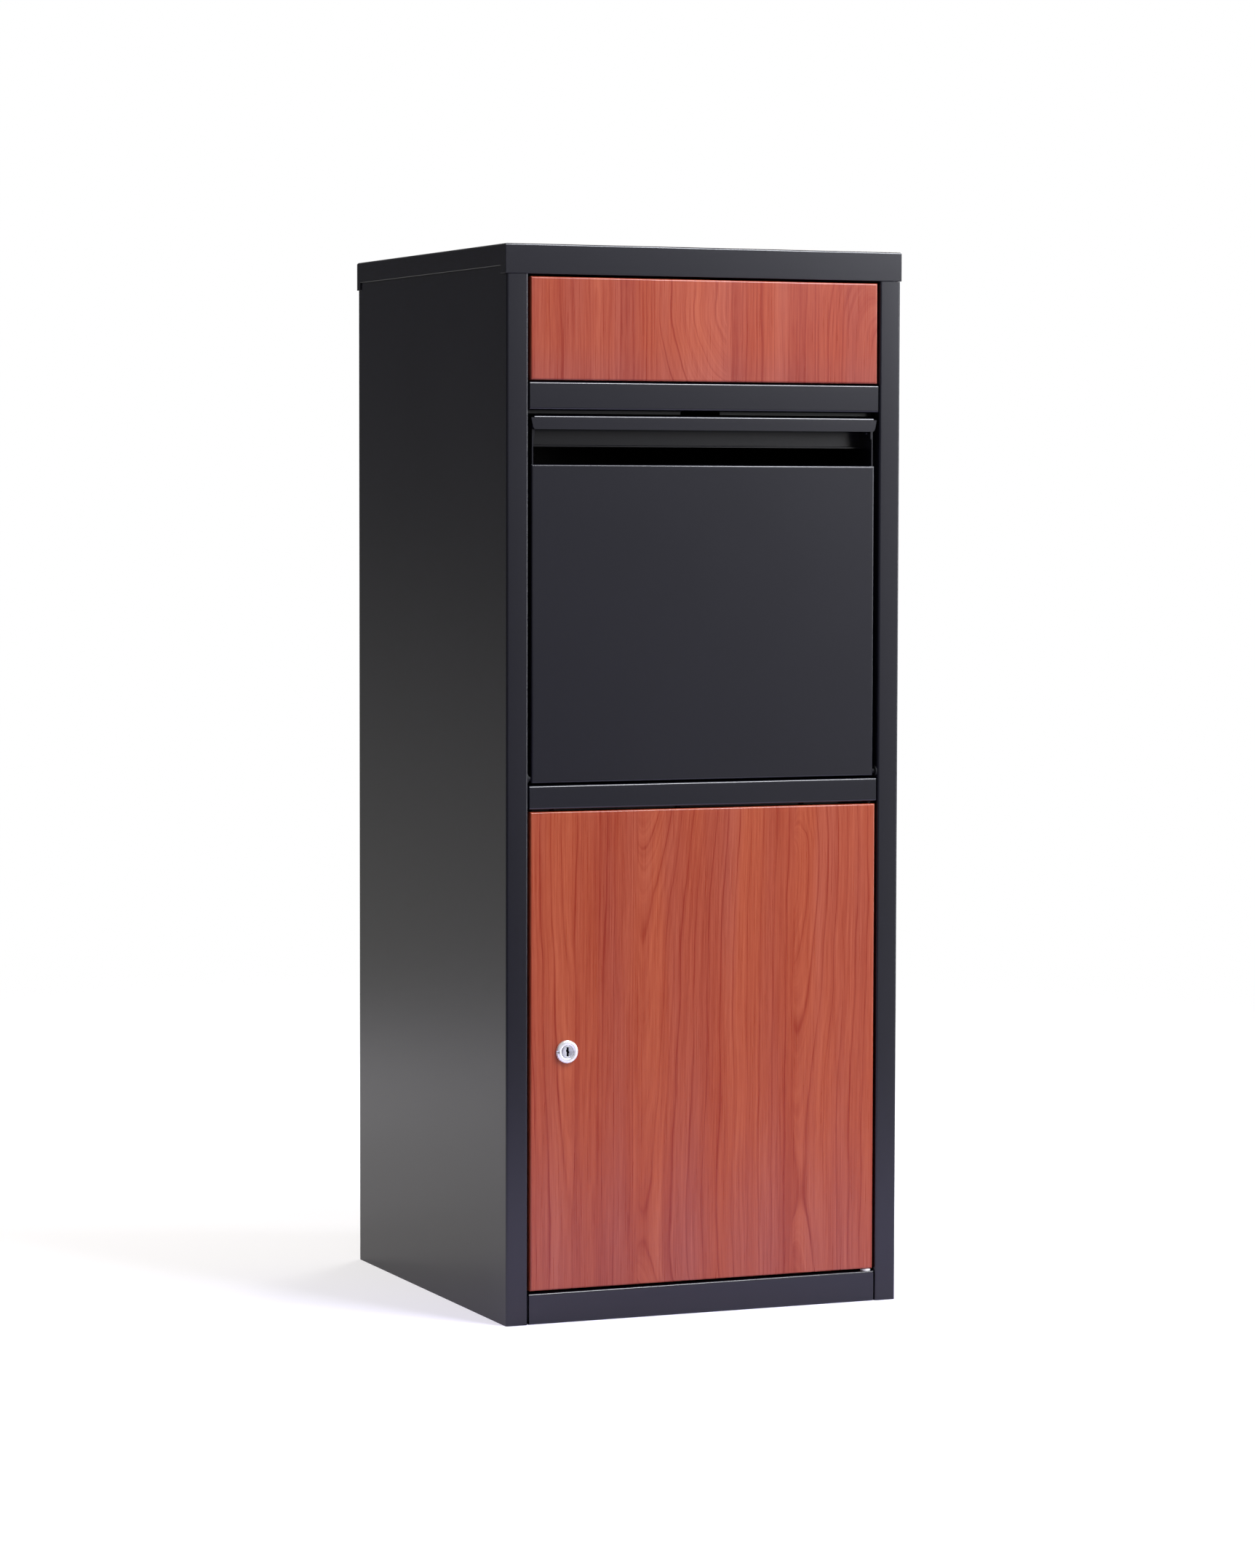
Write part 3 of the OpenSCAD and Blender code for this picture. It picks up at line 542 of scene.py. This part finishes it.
def solids(node):
    """The lowest and highest corner of each separate solid of a CAD node, in millimetres."""
    mesh = bmesh.new()
    mesh.from_mesh(NODES[node].data)
    bmesh.ops.remove_doubles(mesh, verts=mesh.verts, dist=1e-6)
    mesh.verts.ensure_lookup_table()
    seen = set()
    boxes = []
    for first in mesh.verts:
        if first.index in seen:
            continue
        seen.add(first.index)
        queue = [first]
        points = []
        while queue:
            vert = queue.pop()
            points.append(vert.co / MM)
            for edge in vert.link_edges:
                other = edge.other_vert(vert)
                if other.index not in seen:
                    seen.add(other.index)
                    queue.append(other)
        boxes.append([Vector(end(point[axis] for point in points) for axis in range(3))
                      for end in (min, max)])
    mesh.free()
    return boxes


def hexagon(angle):
    """How far out a hexagon's edge lies at an angle, for corners at 1."""
    return math.cos(math.pi / 6) / math.cos((angle % (math.pi / 3)) - math.pi / 6)


class Piece:
    """A new mesh for a CAD node, drawn in millimetres."""

    def __init__(self, node, name=None):
        self.node = node
        self.mesh = bmesh.new()
        self.name = name or node + "_detailed"

    def turned(self, profile, at, axis, closed=False, steps=48, outline=None):
        """A turned solid from (radius, height) points along its axis. A closed profile goes round a
        bore, and any other starts and ends on the axis. Points whose third value is true follow outline."""
        frame_of = Vector(axis).to_track_quat("Z", "Y").to_matrix()
        rings = []
        for point in profile:
            radius, height = point[:2]
            shaped = outline is not None and len(point) > 2
            count = steps if radius > 0 else 1
            ring = []
            for k in range(count):
                angle = 2 * math.pi * k / steps
                reach = radius * (outline(angle) if shaped else 1)
                spot = Vector((reach * math.cos(angle), reach * math.sin(angle), height))
                ring.append(self.mesh.verts.new((Vector(at) + frame_of @ spot) * MM))
            rings.append(ring)
        pairs = list(zip(rings, rings[1:]))
        if closed:
            pairs.append((rings[-1], rings[0]))
        for lower, upper in pairs:
            for k in range(steps):
                after = (k + 1) % steps
                corners = [lower[k % len(lower)], lower[after % len(lower)],
                           upper[after % len(upper)], upper[k % len(upper)]]
                self.mesh.faces.new(list(dict.fromkeys(corners)))
        return self

    def drawn(self, outline, start, end, place):
        """An outline of (u, v) points drawn from start to end; place(u, v, w) gives x, y, z."""
        rows = [[self.mesh.verts.new(Vector(place(u, v, w)) * MM) for u, v in outline]
                for w in (start, end)]
        count = len(outline)
        self.mesh.faces.new(rows[0])
        self.mesh.faces.new(list(reversed(rows[1])))
        for k in range(count):
            after = (k + 1) % count
            self.mesh.faces.new([rows[0][k], rows[1][k], rows[1][after], rows[0][after]])
        return self

    def object(self):
        bmesh.ops.recalc_face_normals(self.mesh, faces=self.mesh.faces)
        data = bpy.data.meshes.new(self.name)
        self.mesh.to_mesh(data)
        self.mesh.free()
        made = bpy.data.objects.new(self.name, data)
        bpy.context.scene.collection.objects.link(made)
        return made

    def finish(self, bevel=0.15, cutters=(), inside=None):
        """Cuts the piece, rounds its edges, and lets it stand for its CAD node. The faces that the
        cutters leave can have a look of their own."""
        row = next(r for r in frame["record"]["subparts"] if r["node"] == self.node)
        outside = materials[row["material_slot"]]
        made = self.object()
        made.data.materials.append(outside)
        for cutter in cutters:
            tool = cutter.object()
            tool.data.materials.append(materials[inside] if inside else outside)
            cut(made, tool)
        if bevel:
            rounding = made.modifiers.new("rounding", "BEVEL")
            rounding.width = bevel * MM
            rounding.segments = 2
            rounding.limit_method = "ANGLE"
            rounding.angle_limit = ROUND_OVER
        made.data.shade_smooth()
        made.modifiers.new("sharp_edges", "EDGE_SPLIT").split_angle = SHARP_PIECE
        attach(made, BODY_OF[self.node])
        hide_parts(self.node)
        return made


def cut(piece, cutter):
    """Takes the cutter out of the piece and removes it."""
    modifier = piece.modifiers.new("cut", "BOOLEAN")
    modifier.operation = "DIFFERENCE"
    modifier.solver = "EXACT"
    modifier.material_mode = "TRANSFER"
    modifier.object = cutter
    bpy.context.view_layer.update()
    shaped = bpy.data.meshes.new_from_object(piece.evaluated_get(bpy.context.evaluated_depsgraph_get()))
    piece.modifiers.clear()
    piece.data = shaped
    bpy.data.objects.remove(cutter)


def dome(radius, height, top, turns=5):
    """Profile points of a low dome: from its rim, at that height, up to its top on the axis."""
    share = [k / turns for k in range(turns)]
    rim = [(radius * math.cos(s * math.pi / 2), height + (top - height) * math.sin(s * math.pi / 2))
           for s in share]
    return rim + [(0, top)]


def cross_recess(node, at, axis, reach, depth, width):
    """A cutter for a cross-head drive, centred on a screw head's top."""
    cutter = Piece(node, "cutter")
    frame_of = Vector(axis).to_track_quat("Z", "Y").to_matrix()
    cross = [(width, reach), (width, width), (reach, width)]
    quarters = [(0, 1), (1, 0), (0, -1), (-1, 0)]
    outline = []
    for c, d in quarters:
        outline += [(u * d + v * c, v * d - u * c) for u, v in cross]
    return cutter.drawn(outline, -depth, 1.0,
                        lambda u, v, w: Vector(at) + frame_of @ Vector((u, v, w)))


def thread(radius, start, end, pitch, depth):
    """Profile points of a thread's crests and roots."""
    turns = int((end - start) / pitch)
    points = []
    for k in range(turns):
        points += [(radius - depth, start + k * pitch), (radius, start + (k + 0.5) * pitch)]
    return points + [(radius - depth, start + turns * pitch)]


def make_lock():
    (low, high), = solids("lock_housing")
    x, z = (low.x + high.x) / 2, (low.z + high.z) / 2
    rim, length = high.x - x, high.y - low.y
    door_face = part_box("door_panel")[0].y / MM
    proud = door_face - low.y
    bore, barrel = 6.05, 9.0
    front = (x, low.y, z)
    face = [(bore, 1.0), (6.5, 0.35), (7.1, 0.1), (8.2, 0.0), (9.7, 0.12), (10.5, 0.55), (rim, 1.5),
            (rim, proud)]
    profile = face + thread(barrel, proud + 1.3, length - 1.4, pitch=1.0, depth=0.45)
    profile += [(8.2, length), (bore, length)]
    half, inner, deep = 1.1, 8.4, 1.6            # of the notch in the bezel's rim
    notch = Piece("lock_housing", "cutter").drawn(
        [(x - rim - 1, z - half), (x - inner, z - half), (x - inner, z + half), (x - rim - 1, z + half)],
        low.y - 1, low.y + deep, lambda u, v, w: (u, w, v))
    Piece("lock_housing").turned(profile, front, (0, 1, 0), closed=True).finish(cutters=[notch])

    (low, high), = solids("lock_plug")
    length = high.y - low.y - 2
    plug = [(0, 0.25), (4.4, 0.25), (4.7, 0.0), (5.7, 0.0), (5.98, 0.3), (5.98, length), (0, length)]
    body = Piece("lock_plug").turned(plug, (x, low.y, z), (0, 1, 0))
    square = [(x - 3, z - 3), (x + 3, z - 3), (x + 3, z + 3), (x - 3, z + 3)]
    body.drawn(square, low.y + length, high.y, lambda u, v, w: (u, w, v))
    half, ward, tall, deep = 1.0, 1.6, 4.4, 14
    keyway = [(-half, -tall), (half, -tall), (half, -1.3), (ward, -1.3), (ward, 0.6), (half, 0.6),
              (half, tall), (-half, tall), (-half, 2.2), (-ward, 2.2), (-ward, 0.2), (-half, 0.2)]
    slot = Piece("lock_plug", "cutter").drawn(
        [(x + u, z + v) for u, v in keyway], low.y - 1, low.y + deep, lambda u, v, w: (u, w, v))
    # the keyway's cut faces take the near-black keyway look: painted shade inside the keyway
    body.finish(bevel=0.08, cutters=[slot], inside="keyway")

    (low, high), = solids("lock_nut")
    corner, thick = high.x - x, high.y - low.y
    flat = corner * math.cos(math.pi / 6) * 0.98
    nut = [(9.0, 0.4), (9.5, 0), (flat, 0), (corner, 0.7, True), (corner, thick - 0.7, True),
           (flat, thick), (9.5, thick), (9.0, thick - 0.4)]
    Piece("lock_nut").turned(nut, (x, low.y, z), (0, 1, 0), closed=True, outline=hexagon, steps=72).finish()

    (low, high), = solids("lock_cam")
    half = (high.x - low.x) / 2
    head = [(x + half * math.cos(a), z + half * math.sin(a))
            for a in (math.pi * k / 16 for k in range(17))]
    foot = [(x - half, low.z + 3), (x - half + 3, low.z), (x + half - 3, low.z), (x + half, low.z + 3)]
    hole = Piece("lock_cam", "cutter").drawn(square, low.y - 1, high.y + 1, lambda u, v, w: (u, w, v))
    Piece("lock_cam").drawn(head + foot, low.y, high.y, lambda u, v, w: (u, w, v)).finish(
        bevel=0.3, cutters=[hole])

    (low, high), = solids("cam_screw")
    head_r, length = (high.x - low.x) / 2, high.y - low.y
    screw = [(0, 0)] + thread(1.5, 0.4, length - 3, pitch=0.6, depth=0.2) + [(1.5, length - 2.5)]
    screw += dome(head_r, length - 1.6, length)
    screw.insert(-6, (head_r, length - 2.5))
    recess = cross_recess("cam_screw", (x, high.y, z), (0, 1, 0), reach=2.4, depth=1.3, width=0.5)
    Piece("cam_screw").turned(screw, (x, low.y, z), (0, 1, 0)).finish(cutters=[recess])


def make_fascia_screws():
    screws = Piece("fascia_screws")
    recesses = []
    for low, high in solids("fascia_screws"):
        x, z = (low.x + high.x) / 2, (low.z + high.z) / 2
        head_r, length = (high.x - low.x) / 2, high.y - low.y
        head = length - 2.4
        profile = [(0, 0), (1.2, 0.3)] + thread(2.0, 0.8, head - 0.4, pitch=0.7, depth=0.3)
        profile += [(2.0, head), (head_r, head)] + dome(head_r, head + 1.0, length)
        screws.turned(profile, (x, low.y, z), (0, 1, 0), steps=32)
        recesses.append(cross_recess("fascia_screws", (x, high.y, z), (0, 1, 0), reach=2.2, depth=1.2,
                                     width=0.45))
    screws.finish(bevel=0.1, cutters=recesses)


def make_rivets():
    rivets = Piece("back_panel_rivets")
    for low, high in solids("back_panel_rivets"):
        x, z = (low.x + high.x) / 2, (low.z + high.z) / 2
        head_r, length = (high.x - low.x) / 2, high.y - low.y
        shank, rim = 1.6, 2 * SHEET
        profile = [(0, 0), (shank, 0), (shank, rim), (head_r, rim), (head_r, rim + 0.25),
                   (head_r * 0.8, rim + 0.7), (1.5, length), (1.1, length), (1.0, length - 0.5),
                   (0, length - 0.5)]
        rivets.turned(profile, (x, low.y, z), (0, 1, 0), steps=32)
    rivets.finish(bevel=0.05)
    rivets = Piece("hopper_rivets")
    for low, high in solids("hopper_rivets"):
        y, z = (low.y + high.y) / 2, (low.z + high.z) / 2
        head_r, length = (high.z - low.z) / 2, high.x - low.x
        cap = dome(head_r, 0, 1.2)
        foot = [(r, 1.2 - h) for r, h in reversed(cap)]
        profile = foot + [(2.0, 1.2), (2.0, length - 1.2)] + [(r, length - 1.2 + h) for r, h in cap]
        rivets.turned(profile, (low.x, y, z), (1, 0, 0), steps=32)
    rivets.finish(bevel=0)


def make_pins_and_bushes():
    pins = Piece("hopper_pivot_pins")
    for low, high in solids("hopper_pivot_pins"):
        y, z, r = (low.y + high.y) / 2, (low.z + high.z) / 2, (high.z - low.z) / 2
        length = high.x - low.x
        ends = [(0, 0), (r - 0.6, 0), (r, 0.6), (r, 2.2), (r - 0.4, 2.4), (r - 0.4, 3.0), (r, 3.2),
                (r, length - 0.6), (r - 0.6, length), (0, length)]
        side = 1 if low.x > 0 else -1
        pins.turned(ends, (low.x if side > 0 else high.x, y, z), (side, 0, 0))
    pins.finish(bevel=0)
    pins = Piece("door_pivot_pins")
    for low, high in solids("door_pivot_pins"):
        x, y, r = (low.x + high.x) / 2, (low.y + high.y) / 2, (high.x - low.x) / 2
        length = high.z - low.z
        ends = [(0, 0), (r - 0.6, 0), (r, 0.6), (r, length - 0.6), (r - 0.6, length), (0, length)]
        pins.turned(ends, (x, y, low.z), (0, 0, 1))
    pins.finish(bevel=0)
    bore, sleeve = 2.55, 4.0
    bushes = Piece("hopper_pivot_bushes")
    for low, high in solids("hopper_pivot_bushes"):
        y, z, r = (low.y + high.y) / 2, (low.z + high.z) / 2, (high.z - low.z) / 2
        side = 1 if low.x > 0 else -1
        foot = low.x if side > 0 else high.x
        length = high.x - low.x
        flanged = [(bore, 0.3), (bore + 0.3, 0), (r - 0.4, 0), (r, 0.4), (r, 1.4), (sleeve, 1.4),
                   (sleeve, length - 0.4), (sleeve - 0.4, length), (bore, length)]
        bushes.turned(flanged, (foot, y, z), (side, 0, 0), closed=True)
    bushes.finish(bevel=0)
    (low, high), = solids("door_lower_bush")
    x, y, r = (low.x + high.x) / 2, (low.y + high.y) / 2, (high.x - low.x) / 2
    length = high.z - low.z
    flange = length - 2.2
    flanged = [(bore, 0), (sleeve - 0.4, 0), (sleeve, 0.4), (sleeve, flange), (r, flange),
               (r, length - 0.5), (r - 0.5, length), (bore + 0.3, length), (bore, length - 0.3)]
    Piece("door_lower_bush").turned(flanged, (x, y, low.z), (0, 0, 1), closed=True).finish(bevel=0)
    (low, high), = solids("door_upper_bush")
    length = high.z - low.z
    plain = [(bore, 0.3), (bore + 0.3, 0), (sleeve - 0.3, 0), (sleeve, 0.3), (sleeve, length - 0.4),
             (sleeve - 0.4, length), (bore, length)]
    Piece("door_upper_bush").turned(plain, (x, y, low.z), (0, 0, 1), closed=True).finish(bevel=0)


def make_bumpers():
    """Rubber buttons with a domed end, on the door's stop lip."""
    buttons = Piece("door_bumpers")
    for low, high in solids("door_bumpers"):
        x, z, r = (low.x + high.x) / 2, (low.z + high.z) / 2, (high.x - low.x) / 2
        thick = high.y - low.y
        profile = [(0, 0), (r - 0.3, 0), (r, 0.3), (r, 0.8), (r - 0.3, 1.1)]
        profile += dome(r - 0.3, thick - 1.6, thick)
        buttons.turned(profile, (x, high.y, z), (0, -1, 0), steps=32)
    buttons.finish(bevel=0)


make_camera()
for softbox in SOFTBOXES:
    make_softbox(softbox)
make_world()
make_floor()
materials = paint_nodes()
make_lock()
make_fascia_screws()
make_rivets()
make_pins_and_bushes()
make_bumpers()
